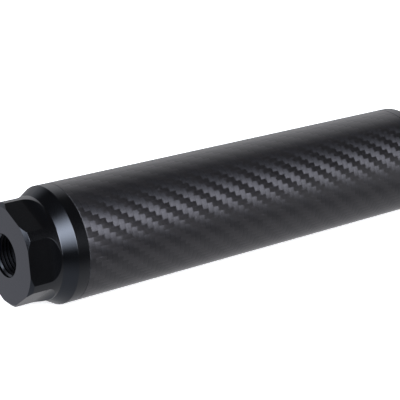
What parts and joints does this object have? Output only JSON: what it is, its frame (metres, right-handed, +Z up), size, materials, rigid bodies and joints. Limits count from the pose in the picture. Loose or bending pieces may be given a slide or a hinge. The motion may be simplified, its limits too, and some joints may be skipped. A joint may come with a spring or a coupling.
{
  "type": "inert carbon-fibre tube with hexagonal cap",
  "caption": "Inert solid display piece: slim woven carbon-fibre tube, black metal end caps, hexagonal boss with a shallow blind recess, closed far face.",
  "frame": {"origin": "on the resting surface, under the middle of the overall length", "axes": "+X along the tube's axis, from the hexagonal boss to the closed front face; +Z up, with the tube lying on its side"},
  "size_m": [0.1878, 0.042, 0.042],
  "materials": {
    "cap_metal": "black anodised, fine turning marks",
    "sleeve": "carbon-fibre twill under a satin clear coat",
    "seal": "matt black",
    "core": "plain solid filler, hidden"
  },
  "bodies": {
    "root": {"rear_cap": "cap_metal", "rear_seal": "seal", "carbon_sleeve": "sleeve", "inert_core": "core", "front_seal": "seal", "front_cap": "cap_metal"}
  },
  "joints": []
}
